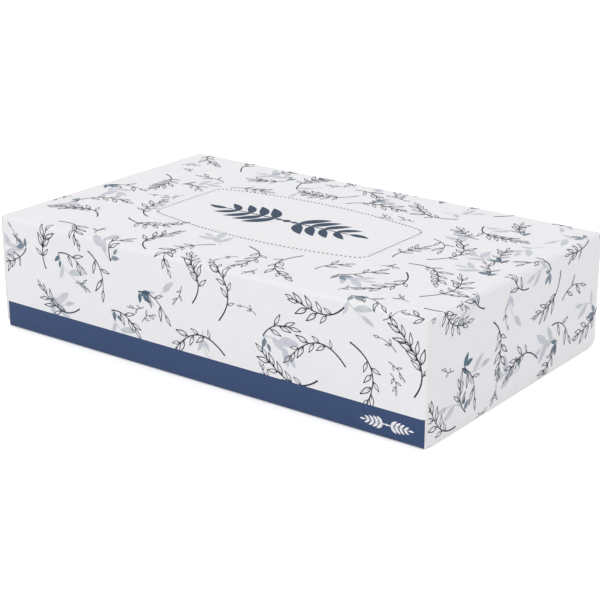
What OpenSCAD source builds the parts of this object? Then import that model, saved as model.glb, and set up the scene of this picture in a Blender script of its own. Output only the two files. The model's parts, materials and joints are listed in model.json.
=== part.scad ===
// Flat tissue box, closed and full. One printed carton blank is folded round the
// sheets and glued shut. The top panel has a perforated tear-out for the sheets.
// Millimetres, +Z up. The origin is the centre of the base, the front panel faces -Y
// and the end panels face +X and -X.

/* [Box] */
// Length over the outer end flaps
box_l = 220; // [180:1:300]
// Depth from the front panel to the back panel
box_w = 134; // [100:1:180]
// Height over the top panel
box_h = 51; // [38:1:130]

/* [Board] */
// Thickness of the folding boxboard
board_t = 0.5; // [0.3:0.05:0.8]
// Outer radius of a creased fold
fold_r = 1.8; // [1.2:0.1:3]

/* [End flaps] */
// Gap from the outer flap's side edges to the front and back panels
outer_side_gap = 0.8; // [0.4:0.1:1]
// Gap from the outer flap's free edge to the base
outer_foot_gap = 1; // [0.6:0.1:3]
// Gap from the inner flap's side edges to the front and back panels
inner_side_gap = 1.5; // [1.3:0.1:4]
// Length of the inner flap, measured up from the base
inner_flap_h = 30; // [15:1:32]
// Radius of a flap's two free corners
flap_corner_r = 3; // [1:0.5:6]

/* [Glue seam] */
// Set-back of the bottom panel's cut edge from the back panel
seam_setback = 0.8; // [0.5:0.1:1]
// How far the back panel's fold is pressed into the bottom panel
seam_press = 0.1; // [0.05:0.01:0.15]

/* [Tear-out] */
// Length of the tear-out between its two straight ends
tear_l = 111; // [80:1:140]
// Width of the tear-out at its middle
tear_mid_w = 60; // [56:1:80]
// Width of the tear-out at its ends, before its corners are rounded
tear_end_w = 45; // [30:1:52]
// Radius of the tear-out's corners
tear_corner_r = 6; // [2:0.5:10]
// Place of the tear-out's centre along the box, from the box's own centre
tear_x = -5; // [-15:1:15]

/* [Perforation] */
// Length of one cut
slit_l = 0.9; // [0.6:0.1:1.2]
// Width of one cut
slit_w = 0.6; // [0.3:0.05:0.7]
// Spacing of the cuts along the outline, centre to centre
slit_pitch = 2; // [1.6:0.1:4]

/* [Printed band] */
// Height of the coloured band along the foot of the front panel
band_h = 12; // [6:1:20]
// How far the band's ink runs on under the base
band_bleed = 3; // [2.5:0.5:8]
// Bare strip between the band and the flaps at each end
band_end_gap = 0.3; // [0.2:0.1:2]

/* [Printed sprigs] */
// Depth that the ink of all printed shapes is given in the board
ink_t = 0.1; // [0.05:0.05:0.2]
// Length of a sprig, along its bowed stem and the leaf at its tip
sprig_l = 27; // [20:1:28]
// Radius that its stem is bowed to
sprig_bow_r = 22; // [16:1:60]
// Width of its stem
stem_w = 0.7; // [0.5:0.1:1.2]
// Leaves beside the stem, in turn left and right
sprig_leaves = 5; // [3:1:7]
// Length of a leaf
leaf_l = 5.5; // [4:0.5:6]
// Width of a leaf
leaf_w = 1.9; // [1.4:0.1:3]
// Clear board between two sprigs where they come closest
sprig_gap = 3; // [1:0.5:12]

/* [Printed ornaments] */
// Length of the leaf border on the tear-out
border_l = 76; // [40:1:78]
// Length of its leaves
border_leaf_l = 11; // [6:0.5:14]
// Width of its leaves
border_leaf_w = 3.9; // [2:0.1:5]
// Diameter of the berries at its middle
berry_d = 2.6; // [1.5:0.1:4]
// Pairs of leaves in each half of it
border_pairs = 5; // [3:1:7]
// Size of the white border in the band as a share of the one on the tear-out
band_border_scale = 0.3; // [0.2:0.01:0.4]
// From the middle of the white border to the band's right end
band_border_inset = 16; // [16:1:60]

/* [Hidden] */
$fn = 64;
board_white = "#eeedf0";
band_navy = "#405071";
line_slate = "#59637a";
border_navy = "#2c4766";

// Half length of the body inside the two layers of flap at each end
body_half_l = box_l / 2 - 2 * board_t;
// Reach of a cutting shape past the surface that it cuts
past = 1;
// Overlap of a printed shape with the bare board round it and below it, so that they are one
ink_trap = 0.02;

// The tear-out's long sides are arcs of this radius
bow_rise = (tear_mid_w - tear_end_w) / 2;
bow_r = (pow(tear_l / 2, 2) + pow(bow_rise, 2)) / (2 * bow_rise);
bow_centre_y = tear_mid_w / 2 - bow_r;
// Centre of a corner arc, which touches the bowed side and the straight end
corner_x = tear_l / 2 - tear_corner_r;
corner_y = bow_centre_y + sqrt(pow(bow_r - tear_corner_r, 2) - pow(corner_x, 2));
// Angle that the bowed side turns through before its corner, and that the corner turns
bow_turn = asin(corner_x / (bow_r - tear_corner_r));
corner_turn = 90 - bow_turn;
// Lengths along one quarter of the outline
bow_len = bow_r * bow_turn * PI / 180;
corner_len = tear_corner_r * corner_turn * PI / 180;
quarter_len = bow_len + corner_len + corner_y;
// Cuts in one quarter, spaced evenly, so the four quarters join without a jump
quarter_slits = round(quarter_len / slit_pitch);

// Angle that the outline has turned through after a length s of one quarter
function turn_at(s) =
    s < bow_len ? s / bow_r * 180 / PI
    : s < bow_len + corner_len ? bow_turn + (s - bow_len) / tear_corner_r * 180 / PI
    : 90;

// Point of the outline after a length s, from the middle of a long side to an end
function point_at(s) =
    s < bow_len ? [bow_r * sin(turn_at(s)), bow_centre_y + bow_r * cos(turn_at(s))]
    : s < bow_len + corner_len
        ? [corner_x + tear_corner_r * sin(turn_at(s)), corner_y + tear_corner_r * cos(turn_at(s))]
    : [tear_l / 2, corner_y - (s - bow_len - corner_len)];

// Rectangle from lo to hi whose four corners are folds: round at the radius given
module rounded_rect(lo, hi, r) {
    translate([lo.x + r, lo.y])
        square([hi.x - lo.x - 2 * r, hi.y - lo.y]);
    translate([lo.x, lo.y + r])
        square([hi.x - lo.x, hi.y - lo.y - 2 * r]);
    for (x = [lo.x + r, hi.x - r])
        for (y = [lo.y + r, hi.y - r])
            translate([x, y])
                circle(r);
}

// Section across the box: the four panels, their folds and the glued seam at the back.
// Drawn with the depth along x and the height along y.
module panel_section() {
    seam_z = board_t - seam_press;
    rounded_rect([-box_w / 2, seam_z], [box_w / 2, box_h], fold_r);
    rounded_rect([-box_w / 2, 0], [0, box_h], fold_r);
    translate([-fold_r, 0])
        square([box_w / 2 - seam_setback + fold_r, board_t]);
}

// Stands a section drawn in depth and height up along the length of the box
module along_length(half_l) {
    rotate([90, 0, 90])
        translate([0, 0, -half_l])
            linear_extrude(2 * half_l)
                children();
}

// Stands a section drawn in length and height up across the depth of the box
module across_depth(half_w) {
    rotate([90, 0, 0])
        translate([0, 0, -half_w])
            linear_extrude(2 * half_w)
                children();
}

// The panels and, at both ends, the dust flaps that fold in from front and back
module body() {
    intersection() {
        along_length(body_half_l)
            panel_section();
        translate([0, 0, -past])
            linear_extrude(box_h + 2 * past)
                rounded_rect([-body_half_l, -box_w / 2], [body_half_l, box_w / 2], fold_r);
    }
}

// The inner flaps, which fold up from the bottom panel over the dust flaps
module inner_flaps() {
    half_l = box_l / 2 - board_t;
    half_w = box_w / 2 - inner_side_gap;
    across_depth(half_w)
        rounded_rect([-half_l, 0], [half_l, inner_flap_h], fold_r);
}

// The outer flaps, which fold down from the top panel over the inner flaps
module outer_flaps() {
    half_w = box_w / 2 - outer_side_gap;
    intersection() {
        across_depth(half_w)
            rounded_rect([-box_l / 2, -box_h], [box_l / 2, box_h], fold_r);
        along_length(box_l / 2)
            rounded_rect([-half_w, outer_foot_gap], [half_w, box_h + 2 * flap_corner_r], flap_corner_r);
        along_length(box_l / 2)
            panel_section();
    }
}

// The short cuts that let the tear-out come away, each as deep as the board
module perforation() {
    for (side = [-1, 1])
        for (end = [-1, 1])
            for (i = [0 : quarter_slits - 1]) {
                s = (i + 0.5) * quarter_len / quarter_slits;
                at = point_at(s);
                translate([tear_x + end * at.x, side * at.y, box_h - board_t])
                    rotate(-end * side * turn_at(s))
                        translate([-slit_l / 2, -slit_w / 2, 0])
                            cube([slit_l, slit_w, board_t + past]);
            }
}

// Edge of a leaf that is pointed at both ends, from its stalk round its tip and back
function leaf_edge(stalk, angle, length, width) = [for (i = [1 : 7])
    let (a = -45 * i, x = length * (1 - cos(a)) / 2, y = width / 2 * pow(abs(sin(a)), 1.3) * sign(sin(a)))
        stalk + [x * cos(angle) - y * sin(angle), x * sin(angle) + y * cos(angle)]];

// Point beside a bowed stem after a turn along it, off to the outside of the bow
function by_stem(turn, off) = (sprig_bow_r + off) * [cos(turn), sin(turn)];

// A bowed stem with leaves in turn beside it and one at its tip, drawn as one outline
// round its own middle
module sprig() {
    turn = (sprig_l - leaf_l) / sprig_bow_r * 180 / PI;
    middle = sprig_l / sprig_bow_r * 90 / PI;
    bare = 0.25 * turn;
    step = (turn - bare) / sprig_leaves;
    half_w = stem_w / 2;
    outside = [for (i = [0 : sprig_leaves - 1]) let (a = bare + i * step)
        each i % 2 == 0 ? leaf_edge(by_stem(a, half_w), a + 45, leaf_l, leaf_w) : [by_stem(a, half_w)]];
    inside = [for (i = [sprig_leaves - 1 : -1 : 0]) let (a = bare + i * step)
        each i % 2 == 1 ? leaf_edge(by_stem(a, -half_w), a + 135, leaf_l, leaf_w)
            : [by_stem(a, -half_w)]];
    tip = leaf_edge(by_stem(turn, 0), turn + 90, leaf_l, leaf_w);
    translate([-sprig_bow_r, 0])
        rotate(-middle)
            polygon(concat([by_stem(0, half_w)], outside, tip, inside, [by_stem(0, -half_w)]));
}

// Sprigs turned at random, one to a cell of a grid that fills a panel of the size given,
// and smaller where the panel is too narrow for them. None lies in the middle kept out.
module scatter(size, seed, keep_out = [0, 0]) {
    fit = min(1, (min(size.x, size.y) - sprig_gap) / sprig_l);
    pitch = fit * sprig_l + sprig_gap;
    count = [for (side = size) floor(side / pitch + 0.001)];
    cell = [size.x / count.x, size.y / count.y];
    loose = (cell - [pitch, pitch]) / 2;
    kept = keep_out / 2 + [pitch, pitch] / 2;
    dice = rands(0, 1, 3 * count.x * count.y, seed);
    for (i = [0 : count.x - 1])
        for (j = [0 : count.y - 1]) {
            k = 3 * (i + count.x * j);
            x = (i + 0.5) * cell.x - size.x / 2 + (2 * dice[k] - 1) * loose.x;
            y = (j + 0.5) * cell.y - size.y / 2 + (2 * dice[k + 1] - 1) * loose.y;
            if (keep_out == [0, 0] || abs(x - tear_x) > kept.x || abs(y) > kept.y)
                translate([x, y])
                    rotate(360 * dice[k + 2])
                        scale(fit)
                            sprig();
        }
}

// One leaf of the border, with its stalk at a distance along the stem
module border_leaf(along, angle) {
    translate([along, 0])
        polygon(concat([[0, 0]], leaf_edge([0, 0], angle, border_leaf_l, border_leaf_w)));
}

// A straight stem with berries at its middle, pairs of leaves that point away from them
// and a leaf at each end
module border() {
    stem_half_l = border_l / 2 - border_leaf_l;
    step = stem_half_l / border_pairs;
    square([2 * stem_half_l, stem_w], center = true);
    for (i = [-1 : 1])
        translate([i * 1.4 * berry_d, 0])
            circle(d = berry_d, $fn = 16);
    for (end = [0, 180])
        rotate(end) {
            for (i = [1 : border_pairs - 1])
                for (side = [-1, 1])
                    border_leaf(i * step, side * 42);
            border_leaf(stem_half_l - stem_w, 0);
        }
}

// Gives a flat shape the ink's depth in the top panel, and runs it on past the face. With
// trap it is larger by as much on every side.
module on_top(trap) {
    translate([0, 0, box_h - ink_t - trap])
        linear_extrude(ink_t + trap + past)
            offset(delta = trap)
                children();
}

// The same in an upright panel, turned by the angle given from the front panel and standing
// at the distance given. The shape is drawn with x along the panel and y up.
module on_side(angle, distance, trap) {
    rotate([90, 0, angle])
        translate([0, 0, distance - ink_t - trap])
            linear_extrude(ink_t + trap + past)
                offset(delta = trap)
                    children();
}

// Where line ink lies: sprigs on the top panel round the tear-out and on the upright panels
module sprig_zone(trap = 0) {
    long_side = 2 * (body_half_l - fold_r);
    short_side = box_w - 2 * (outer_side_gap + flap_corner_r);
    on_top(trap)
        scatter([long_side, box_w - 2 * fold_r], 4, [tear_l, tear_mid_w]);
    front_h = box_h - fold_r - band_h;
    on_side(0, box_w / 2, trap)
        translate([0, band_h + front_h / 2])
            scatter([long_side, front_h], 7);
    on_side(180, box_w / 2, trap)
        translate([0, box_h / 2])
            scatter([long_side, box_h - 4 * fold_r], 12);
    for (side = [-1, 1])
        on_side(side * 90, box_l / 2, trap)
            translate([0, box_h / 2])
                scatter([short_side, box_h - 2 * flap_corner_r], 20 + side);
}

// Where the tear-out's border lies
module border_zone(trap = 0) {
    on_top(trap)
        translate([tear_x, 0])
            border();
}

// Where the band's ink lies: the foot of the front panel and a strip under its fold, but
// for a small border that stays white
module band_zone(trap = 0) {
    half_l = body_half_l - band_end_gap;
    difference() {
        translate([-half_l - trap, -box_w / 2 - past, -past])
            cube([2 * (half_l + trap), band_bleed + trap + past, band_h + trap + past]);
        on_side(0, box_w / 2, -trap)
            translate([half_l - band_border_inset, band_h / 2 + fold_r / 2])
                scale(band_border_scale)
                    border();
    }
}

// The closed carton before it is printed
module folded_board() {
    difference() {
        union() {
            body();
            inner_flaps();
            outer_flaps();
        }
        perforation();
    }
}

// The part of the board that an ink's zone takes in, in the ink's colour
module printed(ink) {
    color(ink)
        intersection() {
            folded_board();
            children();
        }
}

// The whole carton: one folded sheet, white, with its three inks flush in its face
module carton() {
    color(board_white)
        difference() {
            folded_board();
            band_zone();
            sprig_zone();
            border_zone();
        }
    printed(band_navy)
        band_zone(ink_trap);
    printed(line_slate)
        sprig_zone(ink_trap);
    printed(border_navy)
        border_zone(ink_trap);
}

carton();
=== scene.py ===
import json
import math
import random
from functools import partialmethod
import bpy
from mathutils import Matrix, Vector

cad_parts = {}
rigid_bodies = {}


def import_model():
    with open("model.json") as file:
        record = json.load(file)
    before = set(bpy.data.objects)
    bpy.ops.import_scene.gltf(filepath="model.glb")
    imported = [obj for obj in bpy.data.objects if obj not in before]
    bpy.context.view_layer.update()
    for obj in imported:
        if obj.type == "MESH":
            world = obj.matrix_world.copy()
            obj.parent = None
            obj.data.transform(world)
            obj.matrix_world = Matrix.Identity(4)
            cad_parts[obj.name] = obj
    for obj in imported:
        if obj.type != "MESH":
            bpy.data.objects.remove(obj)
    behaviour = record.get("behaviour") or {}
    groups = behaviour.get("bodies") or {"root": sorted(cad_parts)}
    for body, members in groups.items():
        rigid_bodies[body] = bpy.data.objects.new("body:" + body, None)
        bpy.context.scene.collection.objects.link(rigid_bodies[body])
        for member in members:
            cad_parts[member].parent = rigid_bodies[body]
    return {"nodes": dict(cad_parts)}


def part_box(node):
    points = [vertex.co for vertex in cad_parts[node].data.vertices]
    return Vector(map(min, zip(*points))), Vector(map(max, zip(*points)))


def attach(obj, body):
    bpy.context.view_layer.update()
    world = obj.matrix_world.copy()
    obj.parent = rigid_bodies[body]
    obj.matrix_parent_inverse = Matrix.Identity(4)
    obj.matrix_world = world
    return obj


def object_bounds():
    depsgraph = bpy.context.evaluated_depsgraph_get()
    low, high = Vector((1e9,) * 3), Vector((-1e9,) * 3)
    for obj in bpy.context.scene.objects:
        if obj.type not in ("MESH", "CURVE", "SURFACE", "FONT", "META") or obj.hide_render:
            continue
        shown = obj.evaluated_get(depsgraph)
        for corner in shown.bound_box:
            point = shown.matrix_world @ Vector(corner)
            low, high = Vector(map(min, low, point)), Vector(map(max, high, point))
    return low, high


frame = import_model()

from types import SimpleNamespace

import bmesh
import bpy
import numpy as np
from mathutils import Matrix, Vector

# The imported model's own box, kept from before anything is added
CAD_LOW, CAD_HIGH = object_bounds()
CARTON_LOW, CARTON_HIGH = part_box("carton")
MM = 0.001
# Height from one layer of ink to the next, so that no two lie in one plane
INK_STEP = 0.001 * MM

bl_info = {
    "name": "Tissue Box",
    "version": (1, 0, 0),
    "blender": (4, 5, 0),
    "location": "3D View > Sidebar > Tissue Box",
    "description": "Prints and finishes a folded tissue carton and sets it in a plain studio",
    "category": "Object",
}


def srgb(code):
    """Turns a hex colour such as #405071 into linear red, green, blue and alpha."""
    parts = [int(code[i:i + 2], 16) / 255 for i in (1, 3, 5)]
    linear = (c / 12.92 if c <= 0.04045 else ((c + 0.055) / 1.055) ** 2.4 for c in parts)
    return (*linear, 1.0)


def length(name, description, default):
    """A size in metres that the panel shows in the scene's own unit."""
    return bpy.props.FloatProperty(
        name=name, description=description, default=default, min=0.0, precision=5,
        subtype="DISTANCE", unit="LENGTH")


def amount(name, description, default, **more):
    """A plain number, whole or not, or an angle where its subtype says so."""
    kind = bpy.props.IntProperty if isinstance(default, int) else bpy.props.FloatProperty
    return kind(name=name, description=description, default=default, **more)


def colour(name, description, code):
    """A colour that the panel shows as a swatch."""
    return bpy.props.FloatVectorProperty(
        name=name, description=description, default=srgb(code), size=4,
        min=0.0, max=1.0, subtype="COLOR")


# Sizes and colours


class TISSUEBOX_PG_carton(bpy.types.PropertyGroup):
    """The folded board, as it is in the solid model."""

    box_length: length("Length", "Over the outer end flaps", CARTON_HIGH.x - CARTON_LOW.x)
    box_depth: length("Depth", "From front panel to back panel", CARTON_HIGH.y - CARTON_LOW.y)
    box_height: length("Height", "From the base to the top panel", CARTON_HIGH.z - CARTON_LOW.z)
    board: length("Board", "Thickness of the boxboard", 0.5 * MM)
    fold_radius: length("Fold radius", "Outer radius of a creased fold", 1.8 * MM)
    side_gap: length("Flap side gap", "From a flap's side edges to the long panels", 0.8 * MM)
    foot_gap: length("Flap foot gap", "From a flap's free edge to the base", 1.0 * MM)
    flap_corner: length("Flap corner", "Radius of a flap's free corners", 3.0 * MM)
    seam_lift: length("Seam lift", "Height of the back panel's lower fold", 0.4 * MM)
    tear_length: length("Tear-out length", "Between the two straight ends", 111 * MM)
    tear_middle: length("Tear-out width", "At the middle of its length", 60 * MM)
    tear_end: length("Tear-out end width", "At its ends", 45 * MM)
    tear_offset: amount("Tear-out offset", "Place of its centre along the box", -5 * MM,
                        subtype="DISTANCE", unit="LENGTH")
    band_height: length("Band height", "From the base up the front panel", 12 * MM)
    band_bleed: length("Band bleed", "How far its ink runs under the base", 3 * MM)
    band_end_gap: length("Band end gap", "Bare strip between the band and the flaps", 0.3 * MM)
    board_colour: colour("Board", "Coated outer face of the board", "#efeef1")
    board_shade: colour("Board shade", "Darker patches of the board's mottle", "#edecef")
    edge_colour: colour("Cut edge", "Uncoated pulp in a cut edge", "#ebeae9")
    edge_shade: colour("Cut edge shade", "Darker fibres in a cut edge", "#e0dfdc")
    # Painted shade: a near-black laid on the walls of the perforation's cuts, for the shade inside
    # them
    painted_slit_shade: colour("Perforation", "Shade inside the perforation's cuts", "#1e1e22")
    band_colour: colour("Band", "Solid ink along the foot of the front", "#364a6f")
    band_shade: colour("Band shade", "Where that ink lies thinner", "#3a4e74")
    # Strips along both sides of each perforation cut that carry painted shade: their size, gap and
    # height
    lip_length: length("Lip length", "Pressed strip beside a perforation cut", 0.8 * MM)
    lip_width: length("Lip width", "Pressed strip beside a perforation cut", 0.45 * MM)
    lip_gap: length("Lip gap", "Between a cut's two lips, its own width", 0.6 * MM)
    lip_lift: length("Lip height", "How far a lip stands off the board", 0.012 * MM)
    # Painted shade: the grey of those strips, with a paler tone in patches
    cut_shadow_colour: colour("Lip", "Crushed coating beside a cut", "#b0b0b5")
    cut_shadow_paler: colour("Lip shade", "Where the coating is crushed less", "#bcbcc0")


class TISSUEBOX_PG_print(bpy.types.PropertyGroup):
    """The scattered sprigs and the two ornaments."""

    seed: amount("Seed", "Picks another scatter of the same sprigs", 40, min=0)
    long_count: amount("Long sprigs", "How many are laid on the blank", 58, min=1)
    spray_count: amount("Sprays", "Short sprigs that grow from a pale one's foot", 26, min=1)
    short_count: amount("Short sprigs", "How many are laid on the blank", 24, min=1)
    twig_count: amount("Twigs", "How many are laid on the blank", 36, min=1)
    tint_count: amount("Tint sprigs", "How many are laid on the blank", 48, min=1)
    bud_count: amount("Buds", "Small dark sprigs laid among the tints", 30, min=1)
    line_width: length("Leaf line", "Width of a leaf's outline", 0.34 * MM)
    stem_width: length("Stem line", "Width of a stem at its foot", 0.66 * MM)
    leaf_length: length("Leaf length", "Of an outlined leaf", 5.7 * MM)
    leaf_width: length("Leaf width", "Of an outlined leaf", 1.55 * MM)
    sprig_length: length("Sprig length", "Of a long sprig, from foot to tip", 27 * MM)
    tint_length: length("Tint leaf length", "Of a pale filled leaf", 9.0 * MM)
    tint_width: length("Tint leaf width", "Of a pale filled leaf", 3.0 * MM)
    line_lift: length("Line ink height", "How far line ink stands off the board", 0.045 * MM)
    tint_lift: length("Tint ink height", "How far tint ink stands off the board", 0.02 * MM)
    ornament_length: length("Ornament length", "Leaf border on the tear-out", 76 * MM)
    band_ornament_inset: length(
        "Band ornament inset", "From the box's right end to its ornament's middle", 17.5 * MM)
    line_colour: colour("Line ink", "Darkest line work", "#141c33")
    faint_colour: colour("Faint line ink", "Palest line work", "#6f778a")
    tint_colour: colour("Tint ink", "Greenish filled leaves", "#bdc6ca")
    tint_other: colour("Other tint ink", "Lavender filled leaves", "#c8c6d3")
    tint_wash: colour("Tint wash", "Where tint ink lies thinner", "#e2e3e8")
    bud_colour: colour("Bud ink", "Small dark leaves among the tint", "#4a6879")
    ornament_colour: colour("Ornament ink", "Solid leaves on the tear-out", "#12304c")
    ornament_shade: colour("Ornament shade", "Where that ink lies thinner", "#183856")
    reversed_colour: colour("Reversed ink", "Bare board in the band", "#eceaf0")
    reversed_shade: colour("Reversed shade", "Lighter tooth of that board", "#f2f1f5")


class TISSUEBOX_PG_stage(bpy.types.PropertyGroup):
    """The camera, the lamps and the floor."""

    azimuth: amount("Azimuth", "Camera's turn round the box, from the front to the right",
                    math.radians(36.822), subtype="ANGLE")
    elevation: amount("Elevation", "Camera's angle above level", math.radians(19.666),
                      subtype="ANGLE")
    camera_x: length("Camera X", "Camera to the right of the box", 0.396)
    camera_y: length("Camera forward", "Camera in front of the box", 0.52609)
    camera_z: length("Camera Z", "Camera above the floor", 0.25156)
    focal_length: amount("Focal length", "In millimetres on the sensor's width", 96.95)
    sensor_width: amount("Sensor", "Width of the camera's sensor in millimetres", 36.0)
    sky: amount("Sky", "Strength of the even light from all round", 0.8)
    key: amount("Key", "Strength of the broad key lamp", 0.66)
    key_spread: amount("Key spread", "Angle that the key lamp fills, for soft shadows",
                       math.radians(35), subtype="ANGLE")
    key_from: bpy.props.FloatVectorProperty(
        name="Key direction", description="Towards the key lamp", default=(0.08, -0.57, 0.82),
        subtype="DIRECTION")
    floor_size: length("Floor size", "Side of the square floor", 8.0)
    floor_glow: amount("Floor glow", "Lift that brings the unshadowed floor up to white", 0.36)
    floor_colour: colour("Floor", "Studio floor", "#f4f4f4")


# Nodes


class Result:
    """What a node gives: its first live output, or another by name or number.

    Arithmetic on it adds Math nodes to its tree.
    """

    def __init__(self, made, output=None):
        self.made = made
        self.output = output or next((one for one in made.outputs if one.enabled), None)

    def __getitem__(self, key):
        return Result(self.made, self.made.outputs[key])

    def maths(self, operation, *values):
        return node(self.made.id_data, "ShaderNodeMath", (self, *values), operation=operation)

    def __rsub__(self, other):
        return node(self.made.id_data, "ShaderNodeMath", (other, self), operation="SUBTRACT")

    __add__ = partialmethod(maths, "ADD")
    __sub__ = partialmethod(maths, "SUBTRACT")
    __mul__ = partialmethod(maths, "MULTIPLY")
    __truediv__ = partialmethod(maths, "DIVIDE")
    __pow__ = partialmethod(maths, "POWER")
    __lt__ = partialmethod(maths, "LESS_THAN")
    __gt__ = partialmethod(maths, "GREATER_THAN")


def node(tree, kind, inputs=(), **settings):
    """Adds a node with its settings, fills or links its inputs, and gives its result.

    Inputs come by name, or in a tuple in their order. Each is a value, a result, a tuple with
    results in it for a vector, or a list of results that one input joins.
    """
    made = tree.nodes.new(kind)
    for name, value in settings.items():
        setattr(made, name, value)
    if isinstance(inputs, tuple):
        inputs = dict(enumerate(inputs))
    for key, value in inputs.items():
        if isinstance(value, tuple) and any(isinstance(part, Result) for part in value):
            value = node(tree, "ShaderNodeCombineXYZ", value)
        for part in value if isinstance(value, list) else [value]:
            if isinstance(part, Result):
                tree.links.new(part.output, made.inputs[key])
            else:
                made.inputs[key].default_value = part
    return Result(made)


def new_tree(name, sockets):
    """Starts a geometry tree with a geometry output and the named inputs, listed by kind."""
    tree = bpy.data.node_groups.new(name, "GeometryNodeTree")
    for kind, labels in sockets.items():
        for label in labels:
            tree.interface.new_socket(
                name=label, in_out="INPUT", socket_type="NodeSocket" + kind)
    tree.interface.new_socket(name="Geometry", in_out="OUTPUT", socket_type="NodeSocketGeometry")
    return tree, node(tree, "NodeGroupInput")


def finish_tree(tree, parts, material):
    """Ends a geometry tree in real geometry with its material, and gives the tree."""
    joined = node(tree, "GeometryNodeJoinGeometry", {"Geometry": parts})
    real = node(tree, "GeometryNodeRealizeInstances", {"Geometry": joined})
    inked = node(tree, "GeometryNodeSetMaterial", {"Geometry": real, "Material": material})
    node(tree, "NodeGroupOutput", {"Geometry": inked})
    return tree


def put(name, data, place=(0, 0, 0), turn=(0, 0, 0)):
    """Puts an object in the scene."""
    thing = bpy.data.objects.new(name, data)
    thing.location = place
    thing.rotation_euler = turn
    bpy.context.scene.collection.objects.link(thing)
    return thing


def grow(name, tree, values, mesh=None):
    """Runs a geometry tree on a mesh and returns the result as a plain mesh object."""
    piece = put(name, mesh or bpy.data.meshes.new(name))
    modifier = piece.modifiers.new(tree.name, "NODES")
    modifier.node_group = tree
    for item in tree.interface.items_tree:
        if item.in_out == "INPUT" and item.name in values:
            modifier[item.identifier] = values[item.name]
    bpy.context.view_layer.update()
    shaped = bpy.data.meshes.new_from_object(
        piece.evaluated_get(bpy.context.evaluated_depsgraph_get()))
    piece.modifiers.clear()
    piece.data = shaped
    if not shaped.polygons:
        raise RuntimeError(f"{name} came out empty")
    return piece


# The flat printed blank

# How far the print of the front and back runs round the box's upright corners
ROUND_CORNER = math.radians(50)
# Facets in the quarter turn of a fold
FOLD_STEPS = 8
# Distances that count as nothing, when print is cut at a line and when its slivers are welded
ON_LINE = 1e-8
SLIVER = 1e-7


def layout(carton):
    """Places on the flat blank: where the panels end and the folds begin, from its centre."""
    r = carton.fold_radius
    arc = r * math.pi / 2
    body_half = carton.box_length / 2 - 2 * carton.board
    flat_v = carton.box_depth / 2 - r
    flat_u = carton.box_length / 2 - r
    face_v = flat_v + arc
    face_u = flat_u + arc
    height = carton.box_height
    return SimpleNamespace(
        flat_u=flat_u, flat_v=flat_v, face_u=face_u, face_v=face_v,
        turn_u=body_half - r, side_u=body_half - r + r * ROUND_CORNER,
        front_v=face_v + height - r - carton.band_height,
        foot_v=face_v + height - 2 * r,
        back_v=face_v + height - 2 * r - carton.seam_lift,
        end_u=face_u + height - r - carton.foot_gap,
        end_v=carton.box_depth / 2 - carton.side_gap)


def folded(u, v, lift, on_end, carton, at):
    """Where a point of the flat blank comes to lie once the blank is folded."""
    r = carton.fold_radius
    top = carton.box_height

    def bend(past_flat):
        turn = min(max(past_flat, 0.0) / r, math.pi / 2)
        run_on = max(past_flat - r * math.pi / 2, 0.0)
        out = (r + lift) * math.sin(turn)
        down = r - (r + lift) * math.cos(turn) + run_on
        return out, down

    side_u = 1.0 if u > 0 else -1.0
    side_v = 1.0 if v > 0 else -1.0
    if on_end:
        out, down = bend(abs(u) - at.flat_u)
        return Vector((side_u * (at.flat_u + out), v, top - down))
    out, down = bend(abs(v) - at.flat_v)
    x, y = u, min(abs(v), at.flat_v) + out
    if abs(v) > at.face_v and abs(u) > at.turn_u:
        round_corner, back = bend(abs(u) - at.turn_u)
        x = side_u * (at.turn_u + round_corner)
        y = at.flat_v + r - back
    return Vector((x, side_v * y, top - down))


def panels(at, front_end):
    """Each printed area of the blank, as low and high u and v, and the lines in its folds."""
    def lines(start, end, first):
        return [start + (end - start) * i / FOLD_STEPS for i in range(first, FOLD_STEPS)]

    fold_v = lines(at.flat_v, at.face_v, 1)
    fold_u = lines(at.flat_u, at.face_u, 1)
    turn_u = lines(at.turn_u, at.side_u, 0)
    yield (-at.flat_u, at.flat_u, -at.flat_v, at.flat_v), [], []
    for side, face_end in ((-1, front_end), (1, at.back_v)):
        v = sorted((side * at.flat_v, side * at.face_v))
        yield (-at.turn_u, at.turn_u, *v), [], [side * line for line in fold_v]
        v = sorted((side * at.face_v, side * face_end))
        yield (-at.side_u, at.side_u, *v), [end * u for end in (-1, 1) for u in turn_u], []
    for side in (-1, 1):
        u = sorted((side * at.flat_u, side * at.face_u))
        yield (*u, -at.flat_v, at.flat_v), [side * line for line in fold_u], []
        u = sorted((side * at.face_u, side * at.end_u))
        yield (*u, -at.end_v, at.end_v), [], []


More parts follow.
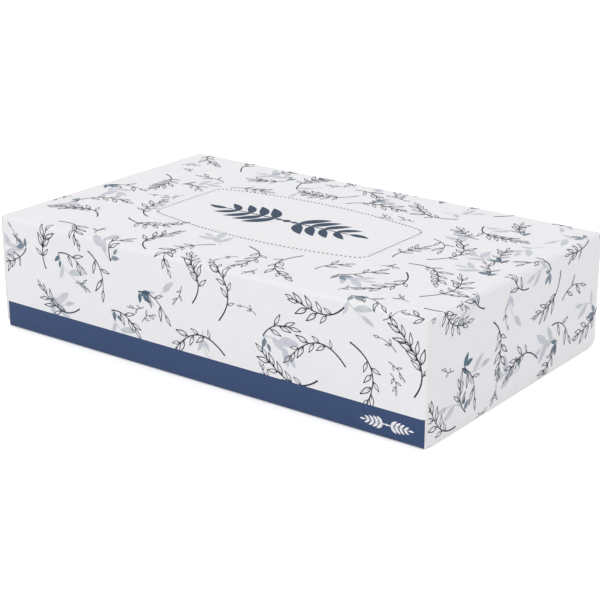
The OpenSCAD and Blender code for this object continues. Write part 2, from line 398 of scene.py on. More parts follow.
def wrap(piece, lift, carton, front_end=None):
    """Cuts flat print at the panels' edges and folds it round the box, to ride with it."""
    at = layout(carton)
    flat = piece.data
    corners = np.zeros(len(flat.vertices) * 3)
    flat.vertices.foreach_get("co", corners)
    corners = corners.reshape(-1, 3)
    spans = [(corners[list(face.vertices)].min(0), corners[list(face.vertices)].max(0))
             for face in flat.polygons]
    whole = bmesh.new()
    for (u0, u1, v0, v1), u_lines, v_lines in panels(at, front_end or at.front_v):
        bm = bmesh.new()
        bm.from_mesh(flat)
        bm.faces.ensure_lookup_table()
        bmesh.ops.delete(bm, context="FACES", geom=[
            bm.faces[i] for i, (low, high) in enumerate(spans)
            if high[0] <= u0 or low[0] >= u1 or high[1] <= v0 or low[1] >= v1])
        for face in bm.faces:
            if face.normal.z < 0:
                face.normal_flip()
        # A point on each cut, which way it faces, and whether what lies beyond it goes
        cuts = [((u0, 0, 0), (-1, 0, 0), True), ((u1, 0, 0), (1, 0, 0), True),
                ((0, v0, 0), (0, -1, 0), True), ((0, v1, 0), (0, 1, 0), True)]
        cuts += [((line, 0, 0), (1, 0, 0), False) for line in u_lines]
        cuts += [((0, line, 0), (0, 1, 0), False) for line in v_lines]
        if max(abs(u0), abs(u1)) == at.end_u:
            side = 1 if u1 > 0 else -1
            reach = carton.flap_corner * (1 - math.sqrt(0.5))
            u, v = side * (at.end_u - reach), at.end_v - reach
            cuts += [((u, end * v, 0), (side, end, 0), True) for end in (-1, 1)]
        for point, normal, trim in cuts:
            bmesh.ops.bisect_plane(
                bm, geom=bm.verts[:] + bm.edges[:] + bm.faces[:], dist=ON_LINE,
                plane_co=point, plane_no=normal, clear_outer=trim)
        on_end = u0 >= at.flat_u or u1 <= -at.flat_u
        for vertex in bm.verts:
            u, v, over = vertex.co
            vertex.co = folded(u, v, lift + over, on_end, carton, at)
        bmesh.ops.dissolve_degenerate(bm, edges=bm.edges[:], dist=SLIVER)
        bit = bpy.data.meshes.new("panel_print")
        bm.to_mesh(bit)
        bm.free()
        whole.from_mesh(bit)
        bpy.data.meshes.remove(bit)
    result = bpy.data.meshes.new(piece.name)
    whole.to_mesh(result)
    whole.free()
    result.materials.append(next(ink for ink in flat.materials if ink))
    result.polygons.foreach_set("material_index", [0] * len(result.polygons))
    result.polygons.foreach_set("use_smooth", [True] * len(result.polygons))
    piece.data = result
    bpy.data.meshes.remove(flat)
    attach(piece, "root")


# Motifs

# How far the handles of a leaf's edge stand along its length and out from its axis, as shares
LEAF_BELLY = (0.3, 0.9)
LEAF_NECK = (0.54, 0.46)
# How far each edge of an outlined leaf reaches: the upper one ends in the tip
EDGE_REACH = {1.0: 1.0, -1.0: 0.95}
# An outlined leaf's stalk and the end of its midrib, as shares of its length
STALK = 0.14
RIB = 0.5
# Powers that put a filled leaf's widest place near its foot and keep its flanks full
LEAF_FOOT = 0.8
LEAF_FLANK = 0.85
# How far a filled leaf bows, as a share of its length, on a sprig and on a garland
SPRIG_BOW = 0.06
GARLAND_BOW = 0.09
# Powers that hold the leaves open along the stem and close them at its tip
SPRIG_CLOSING = 4.0
GARLAND_CLOSING = 5.0
# How the leaves of one sprig differ in size and in how far they lean out, as shares
LEAF_SIZES = (0.78, 1.15)
LEAF_LEANS = (0.5, 1.05)
# Added to a sprig's seed, so that its sizes, leans and shades are drawn apart
SIZE_SALT = 7.0
LEAN_SALT = 2.0
SHADE_SALT = 9.0
# A garland's berries: corners of one, and from one to the next as a share of the radius
BERRY_SIDES = 20
BERRY_SPACING = 2.8
# Handles and end of a garland's stem, as shares of half its length, and its bare foot
GARLAND_STEM = (0.3, 0.6, 0.86)
GARLAND_FOOT = 0.2
# Steps along a stem, a garland's stem, a leaf's outline, a filled leaf and a garland's leaf
STEM_STEPS = 22
GARLAND_STEPS = 14
OUTLINE_STEPS = 7
FILLED_STEPS = 12
GARLAND_LEAF_STEPS = 14
# What tells the last point of a stem, at 1, from the ones before it
BEFORE_TIP = 0.99
BEZIER = "GeometryNodeCurvePrimitiveBezierSegment"
ORIGIN = (0.0, 0.0, 0.0)


def ribbon(tree, curve, width, scale):
    """Turns a flat curve into a flat strip, of a width that scale changes along it."""
    level = node(tree, "GeometryNodeSetCurveNormal", {"Curve": curve}, mode="Z_UP")
    half = width * 0.5
    profile = node(tree, "GeometryNodeCurvePrimitiveLine", {
        "Start": (half * -1.0, 0.0, 0.0), "End": (half, 0.0, 0.0)})
    return node(tree, "GeometryNodeCurveToMesh", {
        "Curve": level, "Profile Curve": profile, "Scale": scale})


def tapered(tree):
    """A stem's width along it, from whole at the foot to half at the tip."""
    return node(tree, "GeometryNodeSplineParameter") * -0.5 + 1.0


def outlined_leaf(tree, length, width, line):
    """A pointed leaf in two thin strokes, on a stalk that runs on as a short midrib."""
    edges = []
    for side, reach in EDGE_REACH.items():
        half = width * side
        handles = [(length * along, half * out, 0.0) for along, out in (LEAF_BELLY, LEAF_NECK)]
        edge = node(tree, BEZIER, (OUTLINE_STEPS, ORIGIN, *handles, (length * reach, 0.0, 0.0)))
        edges.append(ribbon(tree, edge, line, 1.0))
    blade = node(tree, "GeometryNodeTransform", {
        "Geometry": node(tree, "GeometryNodeJoinGeometry", {"Geometry": edges}),
        "Translation": (length * STALK, 0.0, 0.0)})
    rib = node(tree, "GeometryNodeCurvePrimitiveLine", {"End": (length * RIB, 0.0, 0.0)})
    # The rib thins from 1.4 times the outline's width to a fifth of it
    thinning = node(tree, "GeometryNodeSplineParameter") * -1.2 + 1.4
    return node(tree, "GeometryNodeJoinGeometry", {
        "Geometry": [blade, ribbon(tree, rib, line, thinning)]})


def solid_leaf(tree, length, width, bow, steps):
    """A filled pointed leaf: a strip that swells from nothing and back."""
    handles = [(length * along, length * bow, 0.0) for along in (0.33, 0.67)]
    axis = node(tree, "GeometryNodeResampleCurve", {
        "Curve": node(tree, BEZIER, (steps, ORIGIN, *handles, (length, 0.0, 0.0))),
        "Count": steps}, mode="COUNT")
    along = node(tree, "GeometryNodeSplineParameter")
    swell = (along ** LEAF_FOOT * math.pi).maths("SINE")
    return ribbon(tree, axis, width, swell ** LEAF_FLANK)


def along_stem(tree, stem, count, foot):
    """Points along a stem, with the stem's heading at each and how far along it is, 0 to 1."""
    leafy = node(tree, "GeometryNodeTrimCurve", {"Curve": stem, "Start": foot}, mode="FACTOR")
    points = node(tree, "GeometryNodeCurveToPoints", {"Curve": leafy, "Count": count},
                  mode="COUNT")
    x, y, _ = node(tree, "ShaderNodeSeparateXYZ", (points["Tangent"],))
    last = (count - 1.0).maths("MAXIMUM", 1.0)
    return points, y.maths("ARCTAN2", x), node(tree, "GeometryNodeInputIndex") / last


def leaves_beside(tree, side, leaf, chosen, points, heading, size):
    """A leaf on each chosen point, on one side of the stem and each on a level of its own."""
    level = node(tree, "GeometryNodeInputIndex") * INK_STEP + INK_STEP * (5 + side) / 4
    stacked = node(tree, "GeometryNodeSetPosition", {
        "Geometry": points, "Offset": (0.0, 0.0, level)})
    return node(tree, "GeometryNodeInstanceOnPoints", {
        "Points": stacked, "Instance": leaf, "Selection": chosen,
        "Rotation": node(tree, "FunctionNodeEulerToRotation", ((0.0, 0.0, heading),)),
        "Scale": (size, size, 1.0)})


def sprig_tree(name, filled):
    """A bowed stem with leaves in turn or in pairs beside it and one at its tip.

    The leaves are outlined, or filled and each a shade of its own.
    """
    tree, given = new_tree(name, {
        "Float": ("Length", "Bow at Foot", "Bow at Tip", "Paired", "Bare Foot", "Leaf Length",
                  "Leaf Width", "Leaf Line", "Stem Line"),
        "Int": ("Leaves", "Seed"), "Material": ("Material",)})

    def random_between(low, high, salt):
        return node(tree, "FunctionNodeRandomValue", {
            2: low, 3: high, "Seed": given["Seed"] + salt}, data_type="FLOAT")

    half = given["Length"] * 0.5
    sixth = given["Length"] * (1 / 6)
    stem = node(tree, BEZIER, (
        STEM_STEPS, (half * -1.0, 0.0, 0.0),
        (sixth * -1.0, given["Length"] * given["Bow at Foot"], 0.0),
        (sixth, given["Length"] * given["Bow at Tip"], 0.0), (half, 0.0, 0.0)))
    parts = [ribbon(tree, stem, given["Stem Line"], tapered(tree))]
    points, heading, far = along_stem(tree, stem, given["Leaves"], given["Bare Foot"])
    spread = 1.0 - far ** SPRIG_CLOSING
    # The leaves at the middle of the stem are about a quarter larger than those at its ends
    fuller = (far * math.pi).maths("SINE") * 0.2 + 0.85
    size = fuller * random_between(*LEAF_SIZES, SIZE_SALT)
    leaf_size = (given["Leaf Length"], given["Leaf Width"])
    if filled:
        leaf = solid_leaf(tree, *leaf_size, SPRIG_BOW, FILLED_STEPS)
    else:
        leaf = outlined_leaf(tree, *leaf_size, given["Leaf Line"])
    odd = node(tree, "GeometryNodeInputIndex").maths("MODULO", 2.0)
    sides = {1.0: odd.maths("MAXIMUM", given["Paired"]),
             -1.0: (1.0 - odd).maths("MAXIMUM", given["Paired"] * (far < BEFORE_TIP))}
    for side, chosen in sides.items():
        lean = spread * side * random_between(*LEAF_LEANS, LEAN_SALT + side)
        leaves = leaves_beside(tree, side, leaf, chosen, points, heading + lean, size)
        parts.append(node(tree, "GeometryNodeStoreNamedAttribute", {
            "Geometry": leaves, "Name": "leaf_tone",
            "Value": random_between(0.0, 1.0, SHADE_SALT + side)},
            data_type="FLOAT", domain="INSTANCE"))
    return finish_tree(tree, parts, given["Material"])


def garland_tree():
    """A straight stem with berries at its middle and solid leaves that point away from it."""
    tree, given = new_tree("Garland", {
        "Float": ("Length", "Leaf Length", "Leaf Width", "Stem Line", "Lean", "Berry"),
        "Int": ("Pairs",), "Material": ("Material",)})
    half = given["Length"] * 0.5
    leaf = solid_leaf(
        tree, given["Leaf Length"], given["Leaf Width"], GARLAND_BOW, GARLAND_LEAF_STEPS)
    mirrored = node(tree, "GeometryNodeTransform", {"Geometry": leaf, "Scale": (1.0, -1.0, 1.0)})
    berry = node(tree, "GeometryNodeMeshCircle", {
        "Vertices": BERRY_SIDES, "Radius": given["Berry"]}, fill_type="NGON")
    spacing = given["Berry"] * BERRY_SPACING
    row = node(tree, "GeometryNodeMeshLine", {
        "Count": 3, "Start Location": (spacing * -1.0, 0.0, INK_STEP * 2),
        "Offset": (spacing, 0.0, 0.0)}, mode="OFFSET", count_mode="TOTAL")
    # The middle one of the three is plumper than the other two
    middle = node(tree, "GeometryNodeInputIndex").maths("COMPARE", 1.0, 0.5)
    plump = middle * 0.3 + 0.8
    parts = [node(tree, "GeometryNodeInstanceOnPoints", {
        "Points": row, "Instance": berry, "Scale": (plump, plump, 1.0)})]
    for end in (1.0, -1.0):
        stem = node(tree, BEZIER, (GARLAND_STEPS, ORIGIN, *(
            (half * (end * share), 0.0, 0.0) for share in GARLAND_STEM)))
        parts.append(ribbon(tree, stem, given["Stem Line"], tapered(tree)))
        points, heading, far = along_stem(tree, stem, given["Pairs"], GARLAND_FOOT)
        # The leaves shrink by about a third towards the tip
        size = far * -0.35 + 1.0
        spread = 1.0 - far ** GARLAND_CLOSING
        for side, shape, up_to in ((1.0, leaf, 1.5), (-1.0, mirrored, BEFORE_TIP)):
            lean = spread * given["Lean"] * side
            parts.append(leaves_beside(
                tree, side, shape, far < up_to, points, heading + lean, size))
    return finish_tree(tree, parts, given["Material"])


def cut_shadow_tree():
    """Two short strips along X, one on either side of a gap, that carry painted shade beside a cut.
    """
    tree, given = new_tree("Cut Shadow Strips", {
        "Float": ("Length", "Width", "Gap"), "Material": ("Material",)})
    half = given["Length"] * 0.5
    apart = (given["Gap"] + given["Width"]) * 0.5
    parts = []
    for side in (1.0, -1.0):
        y = apart * side
        line = node(tree, "GeometryNodeCurvePrimitiveLine", {
            "Start": (half * -1.0, y, 0.0), "End": (half, y, 0.0)})
        parts.append(ribbon(tree, line, given["Width"], 1.0))
    return finish_tree(tree, parts, given["Material"])


def repeat_tree():
    """Sets a motif from a collection on each point, turned and sized by the point."""
    tree, given = new_tree("Printed Repeat", {
        "Geometry": ("Points",), "Collection": ("Motifs",), "Material": ("Material",)})
    motifs = node(tree, "GeometryNodeCollectionInfo", {
        "Collection": given["Motifs"], "Separate Children": True, "Reset Children": True})
    kind, turn, size = (
        node(tree, "GeometryNodeInputNamedAttribute", {"Name": name}, data_type=held)
        for name, held in (("kind", "INT"), ("turn", "FLOAT"), ("size", "FLOAT")))
    scattered = node(tree, "GeometryNodeInstanceOnPoints", {
        "Points": given["Points"], "Instance": motifs, "Pick Instance": True,
        "Instance Index": kind, "Scale": (size, size, 1.0),
        "Rotation": node(tree, "FunctionNodeEulerToRotation", ((0.0, 0.0, turn),))})
    return finish_tree(tree, [scattered], given["Material"])


# Laying out the print

# How much the sprigs of one class differ, as shares of the class's own measures
SPREAD = {
    "Bow at Foot": (0.62, 1.0), "Bow at Tip": (0.4, 1.15), "Length": (0.86, 1.14),
    "Bare Foot": (0.26, 0.4), "Leaf Length": (0.92, 1.06), "Leaf Width": (0.88, 1.12)}
# Sizes that one sprig is laid in, and angles between two that grow from one foot
LAID_SIZES = (0.92, 1.08)
BRANCHING = (0.35, 1.0)
# Places tried for a sprig before it is left out
TRIES = 500
# How much of a sprig's room it keeps to the tear-out
TEAR_ROOM = 0.9


def sprig_variants(pick, kinds, stem, leaves, leaf_size, lines, bend):
    """Values for sprigs of one size class, each bowed and set with leaves in its own way."""
    variants = []
    for number in range(kinds):
        bow = pick.choice((-1, 1)) * pick.uniform(*SPREAD["Bow at Foot"]) * bend
        paired = float(number % 3 == 2)
        total = pick.randint(*leaves)
        own = {"Length": stem, "Bow at Tip": bow, "Bare Foot": 1.0,
               "Leaf Length": leaf_size[0], "Leaf Width": leaf_size[1]}
        variants.append({
            **{name: value * pick.uniform(*SPREAD[name]) for name, value in own.items()},
            "Bow at Foot": bow, "Leaves": total // 2 + 1 if paired else total, "Paired": paired,
            "Leaf Line": lines[0], "Stem Line": lines[1], "Seed": pick.randint(0, 9999)})
    return variants


def spine(motif, steps=5):
    """Points along a sprig's stem, where its leaves need room."""
    for step in range(steps + 1):
        t = step / steps
        bow = 3 * t * (1 - t) * ((1 - t) * motif["Bow at Foot"] + t * motif["Bow at Tip"])
        yield (t - 0.5) * motif["Length"], bow * motif["Length"]


def on_paper(u, v, reach, carton, at):
    """Whether a round spot of print lies on the blank and clear of the tear-out."""
    if abs(u) > at.end_u + reach or not -at.front_v - reach < v < at.back_v + reach:
        return False
    if abs(u) > at.flat_u and abs(v) > at.end_v + reach:
        return False
    along = abs(u - carton.tear_offset)
    end = carton.tear_length / 2
    swell = (carton.tear_middle - carton.tear_end) / 2
    half = carton.tear_middle / 2 - swell * min(along / end, 1.0) ** 2
    room = reach * TEAR_ROOM
    return abs(v) > half + room or along - end > room


def toss(pick, carton, taken, motifs, count, tones, reach, gap, roots=()):
    """Lays motifs at random turns where they keep their distance from the ones already there.

    Where roots are given, each motif grows from one of them, at an angle to the one it shares.
    """
    at = layout(carton)
    places = []
    for number in range(count):
        kind = number % len(motifs)
        for _ in range(TRIES):
            u = pick.uniform(-at.end_u, at.end_u)
            v = pick.uniform(-at.front_v, at.back_v)
            turn = pick.uniform(0, math.tau)
            size = pick.uniform(*LAID_SIZES)
            tone = pick.uniform(*tones)
            if roots:
                u, v, root_turn = roots[number % len(roots)]
                turn = root_turn + pick.choice((-1, 1)) * pick.uniform(*BRANCHING)
                u += math.cos(turn) * size * motifs[kind]["Length"] / 2
                v += math.sin(turn) * size * motifs[kind]["Length"] / 2
            cos, sin = math.cos(turn) * size, math.sin(turn) * size
            spots = [(u + x * cos - y * sin, v + x * sin + y * cos, reach)
                     for x, y in spine(motifs[kind])]
            if not all(on_paper(*spot, carton, at) for spot in spots):
                continue
            if taken:
                old = np.array(taken)[:, None, :]
                new = np.array(spots)[None, :, :]
                apart = np.hypot(old[..., 0] - new[..., 0], old[..., 1] - new[..., 1])
                if (apart < old[..., 2] + new[..., 2] + gap).any():
                    continue
            taken.extend(spots)
            places.append((u, v, kind, turn, size, tone))
            break
    return places


def foot_of(place, motifs):
    """Where the foot of a laid motif is and which way its stem sets off."""
    u, v, kind, turn, size, _ = place
    half = motifs[kind]["Length"] / 2 * size
    return u - math.cos(turn) * half, v - math.sin(turn) * half, turn


def cuts_of(carton):
    """Middle and heading of each cut round the tear-out, read off the solid model."""
    bm = bmesh.new()
    bm.from_mesh(frame["nodes"]["carton"].data)
    floor = carton.box_height - carton.board
    near = 0.1 * MM
    bmesh.ops.delete(bm, context="VERTS", geom=[
        corner for corner in bm.verts if abs(corner.co.z - floor) > near
        or abs(corner.co.y) > carton.tear_middle / 2 + carton.board
        or abs(corner.co.x - carton.tear_offset) > carton.tear_length / 2 + carton.board])
    bmesh.ops.remove_doubles(bm, verts=bm.verts[:], dist=near / 10)
    seen = set()
    found = []
    for first in bm.verts:
        if first in seen:
            continue
        island = [first]
        seen.add(first)
        for corner in island:
            for edge in corner.link_edges:
                other = edge.other_vert(corner)
                if other not in seen:
                    seen.add(other)
                    island.append(other)
        spots = np.array([corner.co[:2] for corner in island])
        u, v = spots.mean(0)
        (uu, uv), (_, vv) = np.cov((spots - (u, v)).T)
        found.append((float(u), float(v), 0, 0.5 * math.atan2(2 * uv, uu - vv), 1.0, 0.0))
    bm.free()
    return found


def cloud_of(name, places):
    """Points that carry each motif's kind, turn, size and tone.

    Dark motifs lie over pale ones, and neighbours a sixth of a layer apart.
    """
    cloud = bpy.data.meshes.new(name)
    cloud.from_pydata([
        (place[0], place[1], INK_STEP * (number % 3 / 6 + 6 * round(place[5])))
        for number, place in enumerate(places)], [], [])
    columns = list(zip(*places))
    for label, kind, column in (("kind", "INT", 2), ("turn", "FLOAT", 3),
                                ("size", "FLOAT", 4), ("tone", "FLOAT", 5)):
        cloud.attributes.new(label, kind, "POINT").data.foreach_set("value", columns[column])
    return cloud


def lay(pick, carton, classes, first=0):
    """Lays several classes of motif on one blank, the first ones with the most room.

    A class with roots keeps its distance from its own kind only, and later ones from it too.
    """
    taken = []
    rows = []
    for scatter in classes:
        near = [] if "roots" in scatter else taken
        found = toss(pick, carton, near, **scatter)
        if "roots" in scatter:
            taken.extend(near)
        rows += [(u, v, kind + first, *rest) for u, v, kind, *rest in found]
        first += len(scatter["motifs"])
    return rows


def print_motifs(name, tree, variants, rows, ink, lift, carton):
    """Prints motifs on the flat blank, from a shelf with each variant once, and folds the print."""
    shelf = bpy.data.collections.new(name + "_motifs")
    for i, values in enumerate(variants):
        motif = grow(f"{name}_motif_{i:02d}", tree, dict(values, Material=ink))
        bpy.context.scene.collection.objects.unlink(motif)
        shelf.objects.link(motif)
    piece = grow(name, repeat_tree(), {"Motifs": shelf, "Material": ink}, cloud_of(name, rows))
    for motif in list(shelf.objects):
        flat = motif.data
        bpy.data.objects.remove(motif)
        bpy.data.meshes.remove(flat)
    bpy.data.collections.remove(shelf)
    wrap(piece, lift, carton)


# Materials

# A dried film of offset ink, which sinks into the board and shines less than its coating
INK_FILM = {"Roughness": 0.5, "IOR": 1.5, "Specular IOR Level": 0.2}
# How far from an edge a colour may change, so that rounding never moves it to the other side
HAIR = 0.06 * MM
# Real sizes in millimetres: patches in the clay coat and in the varnish, the board's tooth, the
# pulp's fibres, the slow waves of a panel and the marks that the calender left
COAT_PATCH = 7.0
VARNISH_PATCH = 4.0
TOOTH = 0.5
FIBRE = 0.4
COCKLE = 14.0
CALENDER = 0.6
# And in the inks: how far a stroke runs before it pales, and the pools of a wash
STROKE_RUN = 2.2
WASH_POOL = 3.0


def new_surface(name):
    """Starts a material with an empty tree."""
    material = bpy.data.materials.new(name)
    material.use_nodes = True
    material.node_tree.nodes.clear()
    return material, material.node_tree


def finish_surface(material, sockets):
    """Ends a material in its shader, with plain values on the shader's own sockets."""
    shader = node(material.node_tree, "ShaderNodeBsdfPrincipled", sockets)
    node(material.node_tree, "ShaderNodeOutputMaterial", {"Surface": shader})
    return material


def grain(tree, millimetres, low=0.0, high=1.0, detail=2.0):
    """Noise with features of a real size, stretched so that low to high becomes 0 to 1."""
    place = node(tree, "ShaderNodeTexCoord")["Object"]
    noise = node(tree, "ShaderNodeTexNoise", {
        "Vector": place, "Scale": 1 / (millimetres * MM), "Detail": detail})
    return node(tree, "ShaderNodeMapRange", {"Value": noise, "From Min": low, "From Max": high})


def toned(tree, ground, *layers):
    """A colour with others laid over it in turn, each where its mask is 1."""
    for mask, over in layers:
        ground = node(tree, "ShaderNodeMix", {0: mask, 6: ground, 7: over}, data_type="RGBA")
    return ground


def coated_board(carton):
    """Clay-coated folding boxboard: a smooth, faintly mottled white under a satin varnish.

    The clay coat hides the fibres, so the eye sees an even white with a low, broad sheen. Solid
    ink fills the band, and the cut edges of the flaps show the uncoated grey pulp.
    """
    material, tree = new_surface("clay_coated_boxboard")
    x, y, z = node(tree, "ShaderNodeSeparateXYZ", (node(tree, "ShaderNodeTexCoord")["Object"],))
    across = x.maths("ABSOLUTE")
    depth = y.maths("ABSOLUTE")
    body_half = carton.box_length / 2 - 2 * carton.board
    band = (z < carton.band_height) * (y < carton.band_bleed - carton.box_depth / 2) * (
        across < body_half - carton.band_end_gap)
    side_edge = depth > carton.box_depth / 2 - carton.side_gap - HAIR
    cut_edge = (across > body_half + HAIR) * side_edge.maths(
        "MAXIMUM", z < carton.foot_gap + HAIR)
    # Painted shade: the walls of each perforation cut darken with depth to near-black, for the
    # shade that falls inside the cut
    shade_by_depth = node(tree, "ShaderNodeMapRange", {
        "Value": z, "From Min": carton.box_height - HAIR / 4, "From Max": carton.box_height - HAIR})
    from_middle = (x - carton.tear_offset).maths("ABSOLUTE")
    slit_shade_mask = shade_by_depth * (depth < carton.tear_middle / 2 + carton.board) * (
        from_middle < carton.tear_length / 2 + carton.board)
    patches = grain(tree, COAT_PATCH, 0.3, 0.7, 3.0)
    paper = toned(tree, carton.board_shade, (patches, carton.board_colour))
    ink = toned(tree, carton.band_colour, (grain(tree, TOOTH, 0.2, 0.8, 3.0), carton.band_shade))
    pulp = toned(tree, carton.edge_shade, (grain(tree, FIBRE, 0.3, 0.7), carton.edge_colour))
    cockle = node(tree, "ShaderNodeBump", {
        "Strength": 0.5, "Distance": 0.05 * MM, "Height": grain(tree, COCKLE)})
    calender = node(tree, "ShaderNodeBump", {
        "Strength": 0.15, "Distance": 0.01 * MM, "Height": grain(tree, CALENDER, detail=3.0),
        "Normal": cockle})
    gloss = node(tree, "ShaderNodeMapRange", {
        "Value": band, "To Min": 0.35, "To Max": INK_FILM["Specular IOR Level"]})
    satin = node(tree, "ShaderNodeMapRange", {
        "Value": grain(tree, VARNISH_PATCH), "To Min": 0.42, "To Max": 0.52})
    return finish_surface(material, {
        "Base Color": toned(tree, paper, (band, ink), (cut_edge, pulp), (slit_shade_mask, carton.painted_slit_shade)),
        "IOR": 1.45, "Specular IOR Level": gloss, "Roughness": satin, "Normal": calender})


def line_ink(prints):
    """Offset line ink: thin dark strokes that thin out and pale a little along their length."""
    material, tree = new_surface("offset_line_ink")
    tone = node(tree, "ShaderNodeAttribute", attribute_name="tone")["Fac"]
    paler = grain(tree, STROKE_RUN, 0.35, 0.75, 3.0) * 0.2 + tone
    stroke = toned(tree, prints.line_colour, (paler, prints.faint_colour))
    return finish_surface(material, {"Base Color": stroke, **INK_FILM})


def tint_ink(prints):
    """Screened tint ink: flat pale leaves, each a shade of its own, faintly pooled like a wash."""
    material, tree = new_surface("offset_tint_ink")
    leaf = node(tree, "ShaderNodeAttribute", attribute_name="leaf_tone")["Fac"]
    tone = node(tree, "ShaderNodeAttribute", attribute_name="tone")["Fac"]
    pool = grain(tree, WASH_POOL, 0.35, 0.7, 3.0) * 0.45
    wash = toned(tree, prints.tint_colour, (leaf, prints.tint_other), (pool, prints.tint_wash),
                 (tone, prints.bud_colour))
    return finish_surface(material, {"Base Color": wash, **INK_FILM})


def even_coat(name, colour_a, colour_b):
    """Solid offset ink, board left bare in it, or painted shade beside the perforation cuts.

    Each is an even flat colour, duller than the varnish, with the faint tooth of the board in it.
    """
    material, tree = new_surface(name)
    even = toned(tree, colour_a, (grain(tree, TOOTH, 0.2, 0.8, 3.0), colour_b))
    return finish_surface(material, {"Base Color": even, **INK_FILM})


# Operators


def settings(kind):
    """The sizes and colours that the panel shows."""
    return getattr(bpy.context.scene, "tissue_box_" + kind)


class TISSUEBOX_OT_board(bpy.types.Operator):
    """Gives the folded carton its coated board, its solid band and its raw cut edges"""

    bl_idname = "tissue_box.board"
    bl_label = "Finish the Board"

    def execute(self, context):
        material = coated_board(settings("carton"))
        for slot in frame["nodes"]["carton"].material_slots:
            slot.material = material
        return {"FINISHED"}


class TISSUEBOX_OT_perforation(bpy.types.Operator):
    """Sets grey strips of painted shade along both sides of each perforation cut"""

    bl_idname = "tissue_box.perforation"
    bl_label = "Shade the Perforation Cuts"

    def execute(self, context):
        carton = settings("carton")
        # Painted shade: grey strips beside each cut darken the board round it
        cut_shadow_ink = even_coat("painted_cut_shadow", carton.cut_shadow_colour, carton.cut_shadow_paler)
        cut_shadow_sizes = {"Length": carton.lip_length, "Width": carton.lip_width, "Gap": carton.lip_gap}
        print_motifs("tear_lips", cut_shadow_tree(), [cut_shadow_sizes], cuts_of(carton), cut_shadow_ink,
                     carton.lip_lift, carton)
        return {"FINISHED"}


class TISSUEBOX_OT_sprigs(bpy.types.Operator):
    """Prints leafy sprigs and pale leaves at random over the top, front, back and ends"""

    bl_idname = "tissue_box.sprigs"
    bl_label = "Print the Sprigs"

    def execute(self, context):
        carton = settings("carton")
        prints = settings("print")
        pick = random.Random(prints.seed)
        leaf = (prints.leaf_length, prints.leaf_width)
        line, stem = prints.line_width, prints.stem_width
        span = prints.sprig_length
        long = sprig_variants(
            pick, kinds=10, stem=span, leaves=(8, 11), leaf_size=leaf, lines=(line, stem),
            bend=0.44)
        short = sprig_variants(
            pick, kinds=6, stem=span * 0.55, leaves=(4, 6), leaf_size=leaf,
            lines=(line, stem * 0.85), bend=0.24)
        twigs = sprig_variants(
            pick, kinds=4, stem=span * 0.26, leaves=(3, 5),
            leaf_size=(leaf[0] * 0.5, leaf[1] * 0.55), lines=(line * 0.7, line), bend=0.2)
        fans = sprig_variants(
            pick, kinds=7, stem=prints.tint_length * 1.5, leaves=(3, 5),
            leaf_size=(prints.tint_length, prints.tint_width), lines=(line, stem * 0.8), bend=0.25)
        buds = sprig_variants(
            pick, kinds=2, stem=leaf[0] * 0.6, leaves=(2, 3),
            leaf_size=(leaf[0] * 0.85, leaf[1] * 1.35), lines=(line, line), bend=0.1)

        near = prints.leaf_length * 0.55
        fan_rows = lay(pick, carton, [
            dict(motifs=fans, count=prints.tint_count, tones=(0.0, 0.0),
                 reach=prints.tint_length * 0.5, gap=1.0 * MM)])
        roots = [foot_of(row, fans) for row in fan_rows]
        line_rows = lay(pick, carton, [
            dict(motifs=short, count=prints.spray_count, tones=(0.0, 0.1), reach=near, gap=0.0,
                 roots=roots),
            dict(motifs=long, count=prints.long_count, tones=(0.0, 0.12), reach=near,
                 gap=0.8 * MM),
            dict(motifs=short, count=prints.short_count, tones=(0.0, 0.15), reach=near,
                 gap=0.3 * MM),
            dict(motifs=twigs, count=prints.twig_count, tones=(0.3, 0.7), reach=1.5 * MM,
                 gap=0.3 * MM)])
        bud_rows = lay(pick, carton, [
            dict(motifs=buds, count=prints.bud_count, tones=(0.62, 1.0), reach=1.0 * MM, gap=0.0,
                 roots=roots)], len(fans))
        print_motifs("tint_print", sprig_tree("Filled Sprig", True), fans + buds,
                     fan_rows + bud_rows, tint_ink(prints), prints.tint_lift, carton)
        print_motifs("line_print", sprig_tree("Outlined Sprig", False),
                     short + long + short + twigs, line_rows, line_ink(prints),
                     prints.line_lift, carton)
        return {"FINISHED"}


class TISSUEBOX_OT_ornaments(bpy.types.Operator):
    """Prints a plain leaf border on the tear-out and a small white one at the band's right end"""

    bl_idname = "tissue_box.ornaments"
    bl_label = "Print the Ornaments"

    def execute(self, context):
        carton = settings("carton")
        prints = settings("print")
        ink = even_coat("solid_offset_ink", prints.ornament_colour, prints.ornament_shade)
        bare = even_coat("reversed_out_board", prints.reversed_colour, prints.reversed_shade)
        at = layout(carton)
        right = carton.box_length / 2 - prints.band_ornament_inset
        band_v = at.front_v + carton.band_height / 2
        span = prints.ornament_length
        tree = garland_tree()
        sizes = ("Length", "Leaf Length", "Leaf Width", "Stem Line", "Berry", "Lean")
        for name, material, u, v, front_end, values in (
                ("tear_ornament", ink, carton.tear_offset, 0, None,
                 (span, 15 * MM, 4.9 * MM, 1.2 * MM, 1.5 * MM, 0.9)),
                ("band_ornament", bare, right, -band_v, at.foot_v,
                 (span * 0.3, 3.5 * MM, 1.3 * MM, 0.4 * MM, 0.45 * MM, 0.75))):
            piece = grow(name, tree, dict(zip(sizes, values), Pairs=5, Material=material))
            piece.data.transform(Matrix.Translation((u, v, 0)))
            wrap(piece, prints.line_lift, carton, front_end)
        return {"FINISHED"}


def rays_that_see(tree):
    """1 for rays that show the background itself: to the camera, in gloss or through glass."""
    path = node(tree, "ShaderNodeLightPath")
    seen = path["Is Camera Ray"].maths("MAXIMUM", path["Is Glossy Ray"])
    return seen.maths("MAXIMUM", path["Is Transmission Ray"])


def studio_floor(stage):
    """Seamless white paper: matt, and lit just up to white where no shadow falls."""
    material, tree = new_surface("white_paper_sweep")
    return finish_surface(material, {
        "Base Color": stage.floor_colour, "Roughness": 0.9, "Specular IOR Level": 0.0,
        "Emission Color": (1.0, 1.0, 1.0, 1.0),
        "Emission Strength": rays_that_see(tree) * stage.floor_glow})


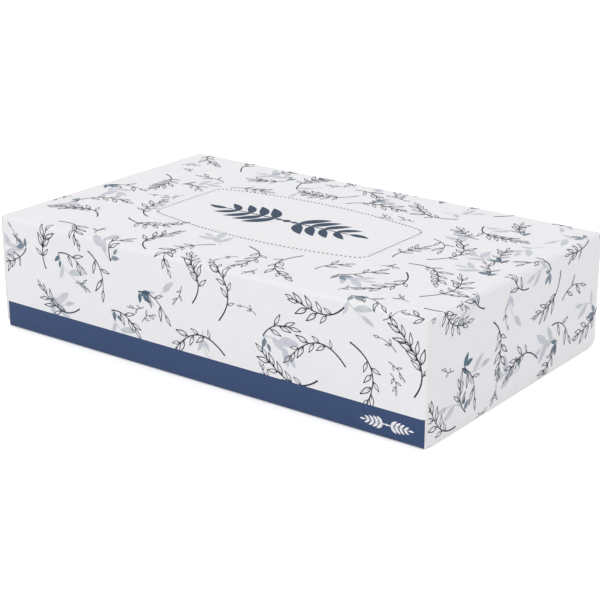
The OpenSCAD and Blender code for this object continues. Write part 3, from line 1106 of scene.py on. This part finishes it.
class TISSUEBOX_OT_stage(bpy.types.Operator):
    """Sets the floor, the soft light from all round, the broad key lamp and the camera"""

    bl_idname = "tissue_box.stage"
    bl_label = "Set the Stage"

    def execute(self, context):
        stage = settings("stage")
        scene = context.scene
        flat = bpy.data.meshes.new("floor")
        half = stage.floor_size / 2
        flat.from_pydata([(-half, -half, 0), (half, -half, 0), (half, half, 0), (-half, half, 0)],
                         [], [(0, 1, 2, 3)])
        flat.materials.append(studio_floor(stage))
        floor = put("floor", flat, (0, 0, CAD_LOW.z))

        world = bpy.data.worlds.new("white_studio")
        world.use_nodes = True
        tree = world.node_tree
        tree.nodes.clear()
        glow = rays_that_see(tree).maths("MAXIMUM", stage.sky)
        light = node(tree, "ShaderNodeBackground", {
            "Color": (1.0, 1.0, 1.0, 1.0), "Strength": glow})
        node(tree, "ShaderNodeOutputWorld", {"Surface": light})
        scene.world = world

        lamp = bpy.data.lights.new("key", "SUN")
        lamp.energy = stage.key
        lamp.angle = stage.key_spread
        put("key", lamp, turn=Vector(stage.key_from).to_track_quat("Z", "Y").to_euler())

        lens = bpy.data.cameras.new("camera")
        lens.lens = stage.focal_length
        lens.sensor_width = stage.sensor_width
        # Well past the floor's far corner
        lens.clip_end = 20
        scene.camera = put(
            "camera", lens, (stage.camera_x, -stage.camera_y, stage.camera_z),
            (math.pi / 2 - stage.elevation, 0, stage.azimuth))
        scene.view_settings.view_transform = "Standard"
        return {"FINISHED"}


class TISSUEBOX_PT_panel(bpy.types.Panel):
    """Lists the sizes, colours and steps of the tissue box"""

    bl_idname = "TISSUEBOX_PT_panel"
    bl_label = "Tissue Box"
    bl_space_type = "VIEW_3D"
    bl_region_type = "UI"
    bl_category = "Tissue Box"

    def draw(self, context):
        for kind, group in GROUPS.items():
            box = self.layout.box()
            box.label(text=kind.capitalize())
            for name in group.__annotations__:
                box.prop(settings(kind), name)
        for step in STEPS:
            self.layout.operator(step.bl_idname)


GROUPS = {"carton": TISSUEBOX_PG_carton, "print": TISSUEBOX_PG_print, "stage": TISSUEBOX_PG_stage}
STEPS = (TISSUEBOX_OT_board, TISSUEBOX_OT_perforation, TISSUEBOX_OT_sprigs,
         TISSUEBOX_OT_ornaments, TISSUEBOX_OT_stage)
CLASSES = (*GROUPS.values(), *STEPS, TISSUEBOX_PT_panel)


def register():
    for kind in CLASSES:
        bpy.utils.register_class(kind)
    for kind, group in GROUPS.items():
        setattr(bpy.types.Scene, "tissue_box_" + kind, bpy.props.PointerProperty(type=group))


def unregister():
    for kind in GROUPS:
        delattr(bpy.types.Scene, "tissue_box_" + kind)
    for kind in reversed(CLASSES):
        bpy.utils.unregister_class(kind)


def main():
    """Registers the add-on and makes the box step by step."""
    register()
    for step in STEPS:
        family, name = step.bl_idname.split(".")
        getattr(getattr(bpy.ops, family), name)()


if __name__ == "__main__":
    main()
